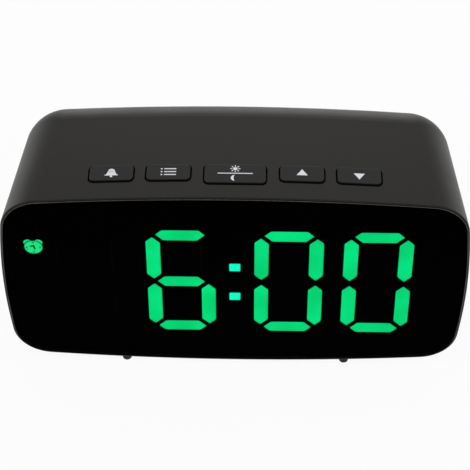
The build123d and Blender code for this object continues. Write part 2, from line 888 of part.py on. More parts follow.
def make_door():
    """The battery door: its top edge is a full round on two pins, and a clip holds it below."""
    leaf = Rectangle(door_width, door_height - door_thickness / 2)
    leaf = on_cover(leaf, door_inside, body_depth, bay_x, -door_thickness / 4)
    outer_edges = leaf.faces().sort_by(Axis.Y)[-1].edges().sort_by(Axis.Z)
    leaf = chamfer(outer_edges[:-1], door_chamfer)
    middle = facing_side(1, bay_x, door_axis_y, door_axis_z)
    roll = extrude(middle * Circle(door_thickness / 2), amount=door_width / 2, both=True)
    pins = extrude(middle * Circle(door_pin_radius), amount=door_width / 2 + door_pin_length, both=True)
    clip = Rectangle(clip_width, clip_thickness)
    clip_height = -bay_height / 2 + clip_gap + clip_thickness / 2
    clip = on_cover(clip, door_inside - clip_length, door_inside, bay_x, clip_height)
    door = leaf + [roll, pins, clip]
    for index in range(groove_count):
        height = groove_height + (index - (groove_count - 1) / 2) * groove_pitch
        groove = SlotOverall(groove_length, groove_width)
        door -= on_cover(groove, body_depth - groove_depth, body_depth + overrun, bay_x, height)
    return door


def cell_rows():
    """Each cell's row over the middle of the bay, and the side that its raised end is on."""
    for index in range(cell_count):
        row = (cell_count - 1) / 2 - index
        yield row, -1 if index % 2 == 0 else 1


def bay_end(side, row):
    """A plane on the inner face of a contact plate, facing into the bay."""
    x = bay_x + side * (bay_length / 2 - contact_thickness)
    return facing_side(-side, x, lip_y + cell_depth, face_z + cover_level + row * cell_pitch)


def make_cell(row, side):
    """One small cell on its side, with its raised end towards the left or the right."""
    can = Pos(0, 0, cell_nub_length) * extrude(Circle(cell_radius), amount=cell_length - cell_nub_length)
    can = fillet(can.edges().filter_by(GeomType.CIRCLE), cell_edge_radius)
    nub = extrude(Circle(cell_nub_radius), amount=cell_nub_length)
    return bay_end(side, row) * (can + nub)


def contact_x(side):
    """The middle of the contact plates at one end of the bay."""
    return bay_x + side * (bay_length - contact_thickness) / 2


def make_contacts():
    """Two single and two double contact plates. Each single one has a tab through the bay's floor."""
    plates = []
    for side in (-1, 1):
        single = RectangleRounded(contact_width, contact_width, contact_corner)
        double = RectangleRounded(contact_width, contact_width + cell_pitch, contact_corner)
        tab = Rectangle(contact_thickness, contact_tab_width)
        tab_front = bay_front - contact_tab_length
        plate = extrude(bay_end(side, -side) * single, amount=-contact_thickness)
        plates.append(plate + on_cover(tab, tab_front, cell_depth, contact_x(side), -side * cell_pitch))
        plates.append(extrude(bay_end(side, side / 2) * double, amount=-contact_thickness))
    return plates


def make_springs():
    """The tapered spring at the flat end of each cell, as the space that its turns fill."""
    outer = Cone(spring_wide_radius, spring_narrow_radius, spring_length, align=upright)
    wide_bore = spring_wide_radius - spring_wire
    narrow_bore = spring_narrow_radius - spring_wire
    tube = outer - Cone(wide_bore, narrow_bore, spring_length, align=upright)
    return [bay_end(-side, row) * tube for row, side in cell_rows()]


def make_power_board():
    """The small board that carries the supply socket."""
    sheet = RectangleRounded(power_board_width, power_board_height, power_board_corner)
    board = on_cover(sheet, power_board_front, power_board_back, power_x, power_height)
    hole = Circle(screw_radius + screw_room)
    front, back = power_board_front - overrun, power_board_back + overrun
    return board - [slab(hole, front, back, *place) for place in power_screw_places()]


def make_socket():
    """The metal supply socket, which stands on its board, with the tongue inside its shell."""
    back = body_depth - socket_inset
    floor = power_board_back + socket_floor
    shell = RectangleRounded(socket_width, socket_height, socket_corner)
    bore = offset(shell, amount=-socket_wall)
    tongue = Rectangle(tongue_width, tongue_thickness)
    body = on_cover(shell, power_board_back, back, power_x, power_height)
    body -= on_cover(bore, floor, back + overrun, power_x, power_height)
    return body + on_cover(tongue, floor, floor + tongue_length, power_x, power_height)


def make_lead(start, end):
    """A wire between two places (x, depth, level), in easy bends with a slight droop."""
    points = []
    for run, across, drop in zip(lead_run_shares, lead_side_shares, lead_droop_shares):
        x = start[0] + across * (end[0] - start[0])
        depth = start[1] + run * (end[1] - start[1])
        level = start[2] + across * (end[2] - start[2]) - drop * lead_droop
        points.append(Vector(x, lip_y + depth, face_z + level))
    radii = []
    for before, here, after in zip(points, points[1:], points[2:]):
        turn = math.radians((here - before).get_angle(after - here))
        shorter = min((here - before).length, (after - here).length)
        radii.append(lead_radius_share * shorter / math.tan(turn / 2))
    path = FilletPolyline(*points, radius=radii)
    lead = sweep(Plane(origin=points[0], z_dir=points[1] - points[0]) * Circle(lead_radius), path=path)
    print("lead", round(path.length, 1), "mm, radii", [round(radius, 1) for radius in radii])
    return lead


def make_foot(x, depth):
    """A small rubber foot, cut to the bowed underside of the housing."""
    height = floor_gap + crown_drop(x) + depth * bottom_slope
    flare = (foot_top_radius - foot_bottom_radius) / height
    tall = height + overrun / 2
    cone = Cone(foot_bottom_radius, foot_bottom_radius + flare * tall, tall, align=upright)
    return Pos(x, lip_y + depth, 0) * cone - body_block()


# The face
nodes["housing_shell"] = make_housing()
nodes["front_window"] = make_window()
nodes["segment_film"] = make_film()
nodes["light_box"] = make_light_box()
unlit = []
for digit, lit in enumerate(lit_bars):
    unlit += make_bars([name for name in all_bars if name not in lit], digit)
    if lit:
        nodes[f"digit_{digit + 1}_guides"] = group(make_bars(lit, digit))
nodes["unlit_guides"] = group(unlit)
nodes["colon_guides"] = group([on_display(square, guide_front, guide_back) for square in colon_squares()])
nodes["alarm_symbol_guide"] = make_symbol()

# The display board
nodes["display_board"] = make_display_board()
nodes["led_chips"] = group(make_leds())
nodes["clock_chip"] = make_chip(clock_chip_length, clock_chip_place, clock_chip_leg_count)
nodes["led_driver_chip"] = make_chip(driver_chip_length, driver_chip_place, driver_chip_leg_count)
nodes["timing_crystal"] = make_crystal()
nodes["smoothing_capacitor"] = make_capacitor()
nodes["board_resistors"] = group(make_resistors())
nodes["ribbon_socket"] = make_ribbon_socket()
nodes["buzzer"] = make_buzzer()
screws = [facing_front(board_front, *place) * screw(screw_length) for place in board_screw_places()]
nodes["display_board_screws"] = group(screws)

# The buttons
nodes["button_board"] = make_button_board()
nodes["tact_switches"] = group([make_switch(x) for x in button_x])
for name, x, width, front in button_openings():
    nodes[f"{name}_plunger"] = make_plunger(x)
    nodes[f"{name}_button"] = make_cap(x, width, front)
under_board = button_board_level - button_board_thickness
screws = [
    facing_down(under_board, *place) * screw(button_screw_length) for place in button_post_places()
]
nodes["button_board_screws"] = group(screws)
nodes["button_ribbon"] = make_ribbon()

# The rear cover, the cells and the supply socket
nodes["rear_cover"] = make_cover()
seat_depth = body_depth - counterbore_depth
screws = [facing_back(seat_depth, *place) * screw(screw_length) for place in cover_screw_places()]
nodes["cover_screws"] = group(screws)
nodes["battery_door"] = make_door()
for index, (row, side) in enumerate(cell_rows()):
    nodes[f"cell_{index + 1}"] = make_cell(row, side)
nodes["cell_contacts"] = group(make_contacts())
nodes["cell_springs"] = group(make_springs())
nodes["power_board"] = make_power_board()
nodes["power_socket"] = make_socket()
screws = [
    facing_front(power_board_front, *place) * screw(power_screw_length) for place in power_screw_places()
]
nodes["power_board_screws"] = group(screws)

# The leads: two from the battery contacts and two from the supply board
for name, side, place in (("positive", -1, positive_lead_end), ("negative", 1, negative_lead_end)):
    start = (contact_x(side), bay_front - contact_tab_length, cover_level - side * cell_pitch)
    nodes[f"battery_{name}_lead"] = make_lead(start, (place[0], board_back, place[1] - display_drop))
for name, side in (("positive", 1), ("negative", -1)):
    shift = side * supply_lead_spacing / 2
    start = (supply_lead_x, power_board_front, cover_level + power_height + shift)
    end = (supply_lead_end[0], board_back, supply_lead_end[1] - display_drop + shift)
    nodes[f"supply_{name}_lead"] = make_lead(start, end)

# The feet
for end_name, depth in (("front", front_foot_depth), ("rear", rear_foot_depth)):
    for side_name, side in (("left", -1), ("right", 1)):
        nodes[f"{end_name}_{side_name}_foot"] = make_foot(side * foot_x, depth)

os.makedirs("parts", exist_ok=True)
for name, part in nodes.items():
    solids = part.solids()
    export_step(solids[0] if len(solids) == 1 else part, f"parts/{name}.step")
print(len(nodes), "sub-parts, door axis at", round(door_axis_y, 3), round(door_axis_z, 3))
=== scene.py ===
# %% [markdown]
# # A digital LED desk clock
#
# The real clock is a cushion-shaped case of black ABS. One smoked window covers its whole
# face, green bars shine through a black film behind it, five keys stand in its top, and a
# battery door opens behind. The CAD model already gives each part its shape and place, so
# this script gives the parts their finishes and adds what a solid model leaves out: printed
# marks, the window's polished edge with a painted highlight, wound springs, copper lines and
# tinned legs.

# %% Load the imported model
import bpy
import math
from mathutils import Matrix, Vector


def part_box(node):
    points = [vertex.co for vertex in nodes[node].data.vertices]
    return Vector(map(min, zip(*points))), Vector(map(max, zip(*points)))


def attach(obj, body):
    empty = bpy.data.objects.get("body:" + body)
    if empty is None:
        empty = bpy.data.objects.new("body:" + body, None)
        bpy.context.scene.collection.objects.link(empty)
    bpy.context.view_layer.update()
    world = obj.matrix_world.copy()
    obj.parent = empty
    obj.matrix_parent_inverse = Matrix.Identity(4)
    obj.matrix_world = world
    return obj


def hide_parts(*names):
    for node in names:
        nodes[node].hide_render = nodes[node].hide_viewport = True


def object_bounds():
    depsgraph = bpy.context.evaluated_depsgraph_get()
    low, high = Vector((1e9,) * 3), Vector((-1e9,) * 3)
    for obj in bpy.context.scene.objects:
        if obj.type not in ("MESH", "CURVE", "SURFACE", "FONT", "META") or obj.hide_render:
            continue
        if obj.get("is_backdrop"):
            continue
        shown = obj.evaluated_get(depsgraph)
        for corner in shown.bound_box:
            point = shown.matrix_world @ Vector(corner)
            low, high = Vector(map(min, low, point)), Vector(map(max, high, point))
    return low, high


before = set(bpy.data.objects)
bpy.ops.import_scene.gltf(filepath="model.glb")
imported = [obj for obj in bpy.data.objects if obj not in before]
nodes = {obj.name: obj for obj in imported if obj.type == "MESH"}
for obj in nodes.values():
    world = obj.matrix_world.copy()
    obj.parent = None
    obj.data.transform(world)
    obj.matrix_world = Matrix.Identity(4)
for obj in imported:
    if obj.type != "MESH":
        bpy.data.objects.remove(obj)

cad_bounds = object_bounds()
MM = 0.001

# %% [markdown]
# ## The camera
#
# The photograph looks down on the clock at about 45 degrees, from straight in front, with a
# long lens. These numbers come from fitting the display and the case's outline together. The
# camera is turned by a matrix made of its own three directions, because that keeps the small
# tilt of the picture exact.

# %% Camera
CAMERA_PLACE = Vector((9.37, -423.84, 467.56)) * MM
CAMERA_ELEVATION = math.radians(45.573)
CAMERA_AZIMUTH = math.radians(1.33)
CAMERA_ROLL = math.radians(0.21)
LENS = 140.85

level = math.cos(CAMERA_ELEVATION)
toward_camera = Vector((
    math.sin(CAMERA_AZIMUTH) * level,
    -math.cos(CAMERA_AZIMUTH) * level,
    math.sin(CAMERA_ELEVATION),
))
right = (-toward_camera).cross(Vector((0, 0, 1))).normalized()
up = right.cross(-toward_camera)
camera_x = math.cos(CAMERA_ROLL) * right - math.sin(CAMERA_ROLL) * up
camera_y = math.sin(CAMERA_ROLL) * right + math.cos(CAMERA_ROLL) * up
turn = Matrix((camera_x, camera_y, toward_camera)).transposed().to_4x4()
bpy.ops.object.camera_add()
camera = bpy.context.object
camera.name = "photo_camera"
camera.matrix_world = Matrix.Translation(CAMERA_PLACE) @ turn
camera.data.lens = LENS
camera.data.sensor_width = 36.0
camera.data.clip_start = 0.01
bpy.context.scene.camera = camera
print("camera", [round(value, 3) for value in camera.location], "lens", LENS)

# %% [markdown]
# ## Small helpers for materials
#
# Colours are written as sRGB hex values, as a designer would note them. Shaders work in
# linear light, so one function converts them. Another adds a node, sets it and links it, and
# a third starts a material from its constant values, so that each finish reads as a short
# list.

# %% Colour and node helpers
def linear(hex_colour):
    """An sRGB hex colour as the linear RGBA that shaders use."""
    channels = [int(hex_colour[start:start + 2], 16) / 255 for start in (1, 3, 5)]
    return [c / 12.92 if c <= 0.04045 else ((c + 0.055) / 1.055) ** 2.4 for c in channels] + [1.0]


def add_node(tree, kind, inputs=None, **settings):
    """Adds a node, changes its settings, and fills its inputs with values or links."""
    node = tree.nodes.new("ShaderNode" + kind)
    for setting, value in settings.items():
        setattr(node, setting, value)
    for socket, value in (inputs or {}).items():
        if isinstance(value, bpy.types.NodeSocket):
            tree.links.new(value, node.inputs[socket])
        else:
            node.inputs[socket].default_value = value
    return node


def new_finish(name, **sockets):
    """A material with one Principled shader, whose constant values are set on its sockets."""
    material = bpy.data.materials.new(name)
    material.use_nodes = True
    shader = material.node_tree.nodes["Principled BSDF"]
    for socket, value in sockets.items():
        value = linear(value) if isinstance(value, str) else value
        shader.inputs[socket.replace("_", " ")].default_value = value
    return material, material.node_tree, shader


# %% [markdown]
# ## Floor, background and light
#
# The photograph shows the clock on plain white. The floor is a white diffuse sheet, and rays
# from the camera see most of its light as plain white, so that it reads as paper white but
# still keeps the clock's soft shadow. The world is plain white to the camera, but it lights
# the clock at half that strength and is mirrored at less than full strength, which keeps the
# black plastic dark. Six soft lamps shape the case: two in front, one above, and three low
# behind, which brighten its rounded rear edge and flanks.

# %% World
SHADE_LEVEL, MIRRORED_SHARE = 0.5, 0.4


def seen_directly(tree, mirrored_share):
    """1 for a ray from the camera or through the window, a share of it for a mirrored ray."""
    ray = add_node(tree, "LightPath")
    mirrored = add_node(tree, "Math", {
        0: ray.outputs["Is Glossy Ray"], 1: mirrored_share}, operation="MULTIPLY")
    seen = add_node(tree, "Math", {
        0: ray.outputs["Is Camera Ray"], 1: mirrored.outputs[0]}, operation="MAXIMUM")
    seen = add_node(tree, "Math", {
        0: seen.outputs[0], 1: ray.outputs["Is Transmission Ray"]}, operation="MAXIMUM")
    return seen.outputs[0]


world = bpy.data.worlds.new("studio_white")
bpy.context.scene.world = world
world.use_nodes = True
sky = world.node_tree
background = sky.nodes["Background"]
background.inputs["Color"].default_value = linear("#FFFFFF")
strength = add_node(sky, "MapRange", {
    "Value": seen_directly(sky, MIRRORED_SHARE), "To Min": SHADE_LEVEL, "To Max": 1.0})
sky.links.new(strength.outputs["Result"], background.inputs["Strength"])
print("world", world.name)

# %% Floor
FLOOR_SIZE, PLAIN_WHITE_SHARE = 6.0, 0.93
bpy.ops.object.select_all(action="DESELECT")
bpy.ops.mesh.primitive_plane_add(size=FLOOR_SIZE, location=(0, 0, 0))
floor = bpy.context.object
floor.name = floor.data.name = "studio_floor"
paper = bpy.data.materials.new("white_paper_sweep")
paper.use_nodes = True
tree = paper.node_tree
tree.nodes.clear()
sheet = add_node(tree, "BsdfDiffuse", {"Color": linear("#F4F4F4")})
white = add_node(tree, "Emission", {"Color": linear("#FFFFFF"), "Strength": 1.0})
share = add_node(tree, "Math", {
    0: seen_directly(tree, 1.0), 1: PLAIN_WHITE_SHARE}, operation="MULTIPLY")
mixed = add_node(tree, "MixShader", {0: share.outputs[0], 1: sheet.outputs[0], 2: white.outputs[0]})
add_node(tree, "OutputMaterial", {"Surface": mixed.outputs[0]})
floor.data.materials.append(paper)
floor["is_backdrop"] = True
print("floor", tuple(round(side, 2) for side in floor.dimensions))

# %% Soft lamps
# Each lamp's name, its place and side in metres, and its power in watts
LAMPS = (
    ("left_softbox", (-1.3, -0.5, 1.2), 1.0, 6.0),
    ("right_softbox", (1.4, -0.4, 1.0), 1.0, 6.0),
    ("top_softbox", (0.0, 0.1, 1.9), 1.0, 2.5),
    ("rear_softbox", (0.0, 1.6, 0.4), 0.9, 3.4),
    ("rear_left_softbox", (-1.35, 0.9, 0.35), 0.9, 2.6),
    ("rear_right_softbox", (1.35, 0.9, 0.35), 0.9, 1.8),
)
for name, place, size, power in LAMPS:
    bpy.ops.object.light_add(type="AREA", location=place)
    lamp = bpy.context.object
    lamp.name = name
    lamp.data.shape = "SQUARE"
    lamp.data.size = size
    lamp.data.energy = power
    lamp.rotation_euler = Vector(place).to_track_quat("Z", "Y").to_euler()
    print(name, power, "W")

# %% [markdown]
# ## Shaping a piece
#
# Each added piece starts as a primitive with nothing else selected, and is shaped in edit
# mode. Its place is then applied to its mesh, so that it lies in the same frame as the CAD
# parts and can ride on one of their bodies.

# %% Start and settle a piece
def begin(add, **place):
    """Adds a primitive with nothing else selected and enters edit mode with all of it selected."""
    bpy.ops.object.select_all(action="DESELECT")
    add(**place)
    bpy.ops.object.mode_set(mode="EDIT")
    bpy.ops.mesh.select_all(action="SELECT")
    return bpy.context.object


def only(piece):
    """Makes a piece the only one selected, and the active one, in object mode."""
    if bpy.context.object and bpy.context.object.mode == "EDIT":
        bpy.ops.object.mode_set(mode="OBJECT")
    bpy.ops.object.select_all(action="DESELECT")
    piece.select_set(True)
    bpy.context.view_layer.objects.active = piece


def use(piece, kind, **settings):
    """Adds a modifier, sets it and applies it."""
    only(piece)
    modifier = piece.modifiers.new(kind.lower(), kind)
    for setting, value in settings.items():
        setattr(modifier, setting, value)
    bpy.ops.object.modifier_apply(modifier=modifier.name)


def settle(piece, name, body):
    """Puts a finished piece's place in its mesh, names it and lets it ride on a CAD body."""
    only(piece)
    bpy.ops.object.transform_apply(location=True, rotation=True, scale=True)
    piece.name = piece.data.name = name
    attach(piece, body)
    low = [round(min(v.co[i] for v in piece.data.vertices) / MM, 2) for i in range(3)]
    high = [round(max(v.co[i] for v in piece.data.vertices) / MM, 2) for i in range(3)]
    print(name, len(piece.data.polygons), "faces, from", low, "to", high)


# %% [markdown]
# ## The window and its polished edge
#
# The window is a sheet of smoked acrylic whose sawn rim is bevelled and polished. The flat
# sheet looks black, and the bevel shows round it as a thin grey line where it catches the
# light. That line is painted: the bevel gets a lighter grey colour, a painted highlight, and
# it also mirrors more, so the two need different finishes. A copy of the CAD sheet is merged,
# so that its faces join, and its bevel faces are found by the direction they look in. The
# whole sheet is moved forward by a hair, so that a film of air parts it from the printed film
# and the two never share a plane.

# %% Window
WELD = 0.002


def joined_copy(node, name):
    """A copy of a CAD node's mesh with its loose triangles joined into one surface."""
    piece = bpy.data.objects.new(name, nodes[node].data.copy())
    piece.data.materials.clear()
    bpy.context.collection.objects.link(piece)
    only(piece)
    bpy.ops.object.mode_set(mode="EDIT")
    bpy.ops.mesh.select_all(action="SELECT")
    bpy.ops.mesh.remove_doubles(threshold=WELD * MM)
    bpy.ops.object.mode_set(mode="OBJECT")
    return piece


AIR_GAP = 0.03
BEVEL_LOOKS = (0.3, 0.95)
window = joined_copy("front_window", "window_sheet")
bpy.ops.object.mode_set(mode="EDIT")
bpy.ops.mesh.select_all(action="SELECT")
bpy.ops.transform.translate(value=(0, -AIR_GAP * MM, 0))
bpy.ops.object.mode_set(mode="OBJECT")
for face in window.data.polygons:
    face.material_index = int(BEVEL_LOOKS[0] < -face.normal.y < BEVEL_LOOKS[1])
settle(window, "window_sheet", "case")
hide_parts("front_window")
print(sum(face.material_index for face in window.data.polygons), "bevel faces")

# %% [markdown]
# ## The marks on the alarm symbol
#
# The lit alarm symbol shows a small dial: four dots and two hands, dark against the green.
# On the real film they are islands of black ink. They are made flat, as discs and bars, and
# laid just in front of the lit symbol.

# %% Flat shapes for print
def add_disc(x, y, radius, sides=24):
    """Adds a flat disc to the piece in edit mode."""
    bpy.ops.mesh.primitive_circle_add(
        vertices=sides, radius=radius * MM, fill_type="NGON", location=(x * MM, y * MM, 0))


def add_bar(start, end, width):
    """Adds a flat bar with round ends to the piece in edit mode."""
    start, end = Vector(start), Vector(end)
    middle, run = (start + end) / 2 * MM, (end - start) * MM
    centre = (*middle, 0)
    bpy.ops.mesh.primitive_circle_add(
        vertices=16, radius=width / 2 * MM, fill_type="NGON", location=centre)
    angle = math.atan2(run.y, run.x)
    mesh_half(centre, run.length / 2)
    bpy.ops.transform.rotate(value=-angle, orient_axis="Z", center_override=centre)


def mesh_half(centre, shift):
    """Pulls a selected disc's two halves apart along X, which makes it a bar."""
    piece = bpy.context.object
    bpy.ops.object.mode_set(mode="OBJECT")
    for vertex in piece.data.vertices:
        if vertex.select:
            vertex.co.x += math.copysign(shift, vertex.co.x - centre[0] + 1e-9)
    bpy.ops.object.mode_set(mode="EDIT")


# %% Alarm symbol print
DOT_REACH, DOT, HAND = 2.15, 0.3, 0.56
INK_LIFT = 0.02
low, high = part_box("alarm_symbol_guide")
symbol_middle = Vector(((low.x + high.x) / 2, low.y - INK_LIFT * MM, (low.z + high.z) / 2))
dial = begin(bpy.ops.mesh.primitive_circle_add,
             vertices=24, radius=DOT * MM, fill_type="NGON", location=(0, 0, 0))
bpy.ops.transform.translate(value=(0, DOT_REACH * MM, 0))
for x, y in ((-DOT_REACH, 0), (0, -DOT_REACH), (DOT_REACH, 0)):
    add_disc(x, y, DOT)
add_bar((0.12, 0.75), (-0.85, 0.38), HAND)
add_bar((0.12, 0.75), (0.36, -0.65), HAND)
bpy.ops.object.mode_set(mode="OBJECT")
dial.rotation_euler = (math.radians(90), 0, 0)
dial.location = symbol_middle
settle(dial, "alarm_symbol_print", "case")

# %% [markdown]
# ## The marks on the keys
#
# Each key carries a white mark that says what it does. They are printed, so they are only a
# few hundredths of a millimetre thick and follow the key's bowed top. Each is drawn flat over
# its key with small discs, bars and triangles, cut finer, then pressed down onto the key by a
# Shrinkwrap modifier and given its thickness by a Solidify modifier. The marks are plain
# signs: a bell, a list, a sun over a moon, and two pointers.

# %% Bell for the alarm key
def draw_bell():
    """A bell: a round crown with a flared skirt, a rim, and its clapper below."""
    add_disc(0, 0.55, 0.85, 32)
    add_skirt((0, 0.55), 0.85, 1.35, 1.35)
    add_bar((-1.55, -0.95), (1.55, -0.95), 0.34)
    add_disc(0, -1.45, 0.36)


def add_skirt(top, top_half, drop, low_half):
    """A flat four-sided skirt, made from a square whose lower edge is pulled wider."""
    centre = (top[0] * MM, (top[1] - drop / 2) * MM, 0)
    bpy.ops.mesh.primitive_plane_add(size=MM, location=centre)
    bpy.ops.transform.resize(value=(2 * top_half, drop, 1), center_override=centre)
    piece = bpy.context.object
    bpy.ops.object.mode_set(mode="OBJECT")
    for vertex in piece.data.vertices:
        if vertex.select and vertex.co.y < centre[1]:
            vertex.co.x *= low_half / top_half
    bpy.ops.object.mode_set(mode="EDIT")


# %% List, sun, moon and pointers for the other keys
def draw_list():
    """Three lines of a list, each with a dot before it."""
    for y in (1.1, 0.0, -1.1):
        add_disc(-1.75, y, 0.24)
        add_bar((-0.95, y), (1.85, y), 0.36)


def draw_sun_and_moon():
    """A sun, a line, and a crescent moon below it."""
    add_disc(0, 1.75, 0.55, 32)
    for step in range(8):
        angle = math.radians(45 * step)
        ray_way = Vector((math.cos(angle), math.sin(angle)))
        add_bar(Vector((0, 1.75)) + ray_way * 0.85, Vector((0, 1.75)) + ray_way * 1.2, 0.26)
    add_bar((-4.4, 0), (4.4, 0), 0.3)
    add_moon(0, -1.75, 1.1)


def add_moon(x, y, radius):
    """A crescent: the right half of a disc is pushed in past its middle."""
    add_disc(x, y, radius, 40)
    piece = bpy.context.object
    bpy.ops.object.mode_set(mode="OBJECT")
    for vertex in piece.data.vertices:
        if vertex.select and vertex.co.x > x * MM:
            vertex.co.x = x * MM - (vertex.co.x - x * MM) * 0.35
    bpy.ops.object.mode_set(mode="EDIT")


def draw_pointer(way):
    """A triangle that points up (1) or down (-1)."""
    bpy.ops.mesh.primitive_circle_add(
        vertices=3, radius=1.5 * MM, fill_type="NGON", location=(0, 0, 0))
    bpy.ops.transform.resize(value=(way * 1.1, way * 1.0, 1), center_override=(0, 0, 0))


# %% Print the marks on the keys
MARK_GROWTH = 1.2
PRINT_THICKNESS, PRINT_LIFT = 0.04, 0.01
CAP_TOP_DEPTH = 1.2


def print_mark(key, draw):
    """Draws a key's mark, lays it over the key and presses it on."""
    low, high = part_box(f"{key}_button")
    cap = nodes[f"{key}_button"]
    front, back = cap_top_span(cap)
    mark = begin(bpy.ops.mesh.primitive_circle_add,
                 vertices=3, radius=MM, fill_type="NGON", location=(0, 0, 0))
    bpy.ops.mesh.delete(type="VERT")
    draw()
    bpy.ops.mesh.select_all(action="SELECT")
    bpy.ops.transform.resize(value=(MARK_GROWTH, MARK_GROWTH, 1), center_override=(0, 0, 0))
    bpy.ops.mesh.quads_convert_to_tris()
    bpy.ops.mesh.subdivide(number_cuts=2)
    bpy.ops.object.mode_set(mode="OBJECT")
    mark.location = ((low.x + high.x) / 2, (front + back) / 2, high.z + MM)
    bpy.ops.object.transform_apply(location=True, rotation=True, scale=True)
    use(mark, "SHRINKWRAP", target=cap, wrap_method="PROJECT", use_project_z=True,
        use_negative_direction=True, use_positive_direction=False, offset=PRINT_LIFT * MM)
    use(mark, "SOLIDIFY", thickness=PRINT_THICKNESS * MM, offset=1.0)
    settle(mark, f"{key}_mark", f"{key}_key")
    return mark


def cap_top_span(cap):
    """The front and back of a key's top face, which is narrower than its hidden flange."""
    top = max(vertex.co.z for vertex in cap.data.vertices)
    near = [vertex.co.y for vertex in cap.data.vertices if vertex.co.z > top - CAP_TOP_DEPTH * MM]
    return min(near), max(near)


KEYS = ("alarm", "mode", "snooze", "up", "down")
DRAWINGS = (
    draw_bell, draw_list, draw_sun_and_moon, lambda: draw_pointer(1), lambda: draw_pointer(-1))
marks = [print_mark(key, draw) for key, draw in zip(KEYS, DRAWINGS)]

# %% [markdown]
# ## The wound cell springs
#
# At the flat end of each cell a tapered spring of nickel-plated wire presses it against the
# other contact. The CAD model has only the space that the turns fill. One spring is wound
# here: a small ring, the section of the wire, goes round with a Screw modifier, and a Simple
# Deform modifier narrows the turns towards the cell. The other two are copies.

# %% Springs
SPRING_LENGTH, WIRE, TURNS = 5.7, 0.5, 6
WIDE, NARROW = 3.4, 2.2
coil = begin(bpy.ops.mesh.primitive_circle_add, vertices=10, radius=WIRE / 2 * MM,
             location=((WIDE - WIRE / 2) * MM, 0, WIRE / 2 * MM), rotation=(math.radians(90), 0, 0))
bpy.ops.object.mode_set(mode="OBJECT")
bpy.ops.object.transform_apply(location=True, rotation=True, scale=True)
use(coil, "SCREW", axis="Z", angle=2 * math.pi, iterations=TURNS, steps=28, render_steps=28,
    screw_offset=(SPRING_LENGTH - WIRE) / TURNS * MM, use_merge_vertices=True)
use(coil, "SIMPLE_DEFORM", deform_method="TAPER", deform_axis="Z", factor=NARROW / WIDE - 1)
only(coil)
bpy.ops.object.mode_set(mode="EDIT")
bpy.ops.mesh.select_all(action="DESELECT")
bpy.ops.mesh.select_non_manifold()
bpy.ops.mesh.fill_holes(sides=0)
bpy.ops.mesh.select_all(action="SELECT")
bpy.ops.mesh.normals_make_consistent(inside=False)
bpy.ops.object.mode_set(mode="OBJECT")

spring_low, spring_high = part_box("cell_springs")
coils = []
for cell in ("cell_1", "cell_2", "cell_3"):
    low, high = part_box(cell)
    on_right = high.x < spring_high.x - SPRING_LENGTH / 2 * MM
    copy = coil.copy()
    copy.data = coil.data.copy()
    bpy.context.collection.objects.link(copy)
    copy.rotation_euler = (0, math.radians(-90 if on_right else 90), 0)
    end = spring_high.x if on_right else spring_low.x
    copy.location = (end, (low.y + high.y) / 2, (low.z + high.z) / 2)
    coils.append(copy)
only(coils[0])
for copy in coils:
    copy.select_set(True)
bpy.ops.object.join()
springs = bpy.context.object
bpy.data.objects.remove(coil)
settle(springs, "spring_coils", "case")
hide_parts("cell_springs")

# %% [markdown]
# ## Black ABS for the case
#
# The case is moulded from black ABS in a mould with a very fine grain, which leaves a satin
# gloss: dark where it faces the eye and paler where it curves away. The real grain is about
# 0.1 mm and would not show, so it is drawn at 0.35 mm, with a slow change of gloss across the
# part as a large moulding has.

# %% Moulded plastic
CLOUD = 14.0


def moulded(name, grain, gloss, relief, **sockets):
    """A moulded surface with its grain: a fine ripple, and gloss that changes slowly."""
    material, tree, shader = new_finish(name, **sockets)
    place = add_node(tree, "TexCoord").outputs["Object"]
    fine = add_node(tree, "TexNoise", {"Vector": place, "Scale": 1 / (grain * MM), "Detail": 2.0})
    slow = add_node(tree, "TexNoise", {"Vector": place, "Scale": 1 / (CLOUD * MM), "Detail": 3.0})
    blend = add_node(tree, "Math", {0: fine.outputs["Fac"], 1: slow.outputs["Fac"]}, operation="ADD")
    rough = add_node(tree, "MapRange", {
        "Value": blend.outputs[0], "From Min": 0.6, "From Max": 1.4,
        "To Min": gloss[0], "To Max": gloss[1]})
    ripple = add_node(tree, "Bump", {
        "Height": fine.outputs["Fac"], "Strength": 0.5, "Distance": relief * MM})
    tree.links.new(rough.outputs["Result"], shader.inputs["Roughness"])
    tree.links.new(ripple.outputs["Normal"], shader.inputs["Normal"])
    return material


def dress(material, names):
    """Gives CAD nodes and pieces a material in place of what they have."""
    for name in names:
        slots = bpy.data.objects[name].data.materials
        slots.clear()
        slots.append(material)
    print(material.name, "on", len(names))


case_abs = moulded(
    "satin_black_abs", 0.35, (0.36, 0.46), 0.006,
    Base_Color="#100F0D", IOR=1.54, Specular_IOR_Level=0.24, Specular_Tint="#FFFCF2")
dress(case_abs, ["housing_shell", "rear_cover", "battery_door"])
key_abs = moulded(
    "satin_black_abs_keys", 0.3, (0.40, 0.52), 0.008,
    Base_Color="#111110", IOR=1.54, Specular_IOR_Level=0.22)
dress(key_abs, [f"{key}_button" for key in KEYS])

# %% [markdown]
# ## Smoked acrylic and what lies behind it
#
# Smoked acrylic lets about three quarters of the light through here and mirrors very little,
# because it is coated. A plain alpha on the shader carries this to other programs. Its edge
# is polished and uncoated, so it mirrors more, and its lighter grey colour is a painted
# highlight: the thin light line that the edge catches. Behind it are carbon-black ink and the
# light guides: lit ones glow, and the dark ones are the same tinted acrylic, unlit.

# %% Window, film and guides
def uneven_gloss(tree, shader, place, patch, gloss, detail=2.0):
    """Lets the roughness wander between two values, over patches of a size in millimetres."""
    patches = add_node(tree, "TexNoise", {
        "Vector": place, "Scale": 1 / (patch * MM), "Detail": detail})
    rough = add_node(tree, "MapRange", {
        "Value": patches.outputs["Fac"], "To Min": gloss[0], "To Max": gloss[1]})
    tree.links.new(rough.outputs["Result"], shader.inputs["Roughness"])


